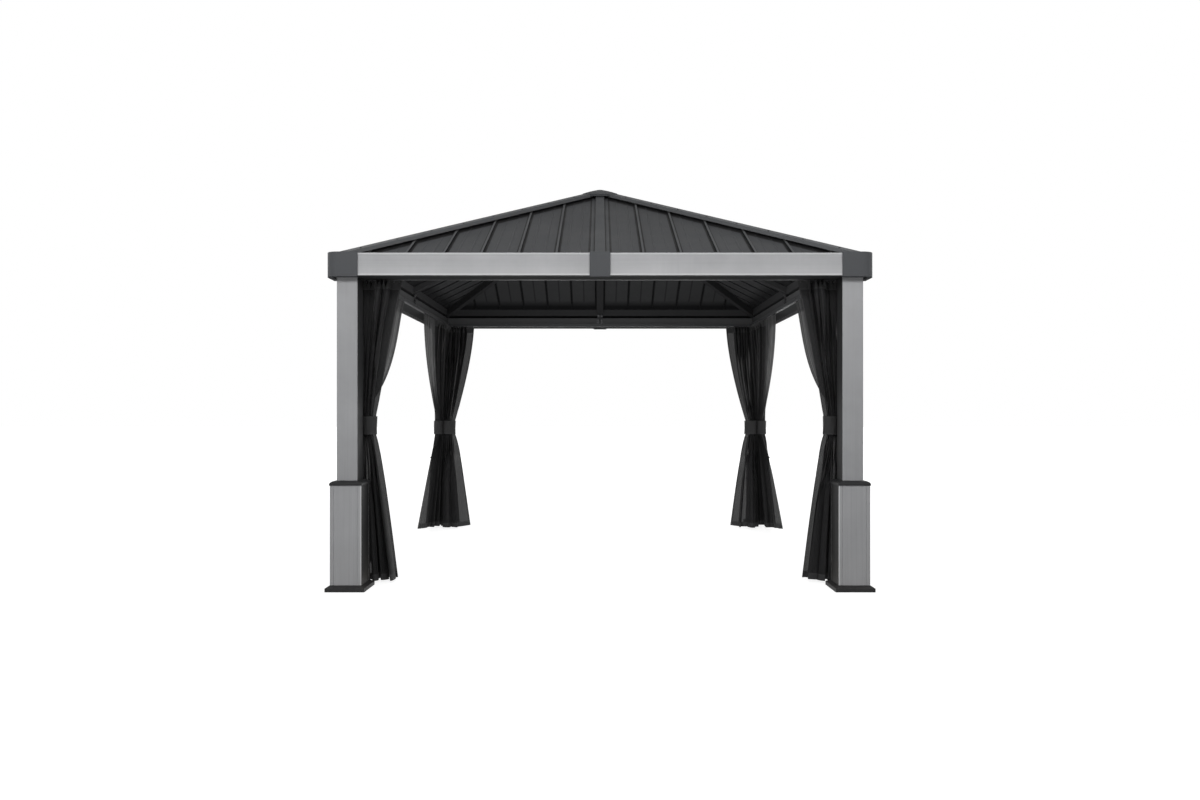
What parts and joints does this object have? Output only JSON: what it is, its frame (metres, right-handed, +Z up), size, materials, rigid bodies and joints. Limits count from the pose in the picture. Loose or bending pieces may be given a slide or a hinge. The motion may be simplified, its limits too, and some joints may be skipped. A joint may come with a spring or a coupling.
{
  "type": "metal gazebo with hard pyramid roof and tied-back netting",
  "caption": "Square open-sided steel gazebo with boxed post feet, a ribbed pyramid roof with capped hips, and netting gathered at its posts.",
  "frame": {"origin": "ground level, under the apex, at the middle of the square plan", "axes": "+Z up; -Y is the front, +X the right side seen from the front"},
  "size_m": [3.66, 3.66, 3.1474],
  "materials": {
    "light_grey_paint": "light grey satin powder coat on the outward faces, charcoal on the inward ones",
    "charcoal_paint": "charcoal fine-textured powder coat",
    "roof_paint": "slate grey matt coil coating",
    "track_metal": "dark anodised extruded track",
    "netting": "sheer black knitted mesh with plain woven header and hem",
    "strap_webbing": "black woven polyester"
  },
  "bodies": {
    "root": {"post_front_left": "light_grey_paint", "base_skirt_front_left": "charcoal_paint", "base_box_front_left": "light_grey_paint", "post_front_right": "light_grey_paint", "base_skirt_front_right": "charcoal_paint", "base_box_front_right": "light_grey_paint", "post_rear_right": "light_grey_paint", "base_skirt_rear_right": "charcoal_paint", "base_box_rear_right": "light_grey_paint", "post_rear_left": "light_grey_paint", "base_skirt_rear_left": "charcoal_paint", "base_box_rear_left": "light_grey_paint", "ring_beam_front": "charcoal_paint", "fascia_front": "light_grey_paint", "roof_panel_front": "roof_paint", "ring_beam_right": "charcoal_paint", "fascia_right": "light_grey_paint", "roof_panel_right": "roof_paint", "ring_beam_rear": "charcoal_paint", "fascia_rear": "light_grey_paint", "roof_panel_rear": "roof_paint", "ring_beam_left": "charcoal_paint", "fascia_left": "light_grey_paint", "roof_panel_left": "roof_paint", "net_front_left": "netting", "net_front_right": "netting", "net_rear_right": "netting", "net_rear_left": "netting", "net_left_front": "netting", "net_right_front": "netting", "net_right_rear": "netting", "net_left_rear": "netting", "base_caps": "charcoal_paint", "eave_rails": "charcoal_paint", "hip_rafters": "charcoal_paint", "centre_rafters": "charcoal_paint", "rafter_brackets": "charcoal_paint", "apex_hub": "charcoal_paint", "corner_caps": "roof_paint", "fascia_joint_covers": "roof_paint", "hip_caps": "roof_paint", "roof_battens": "roof_paint", "top_cap": "roof_paint", "curtain_tracks": "track_metal", "tie_straps": "strap_webbing"}
  },
  "joints": []
}
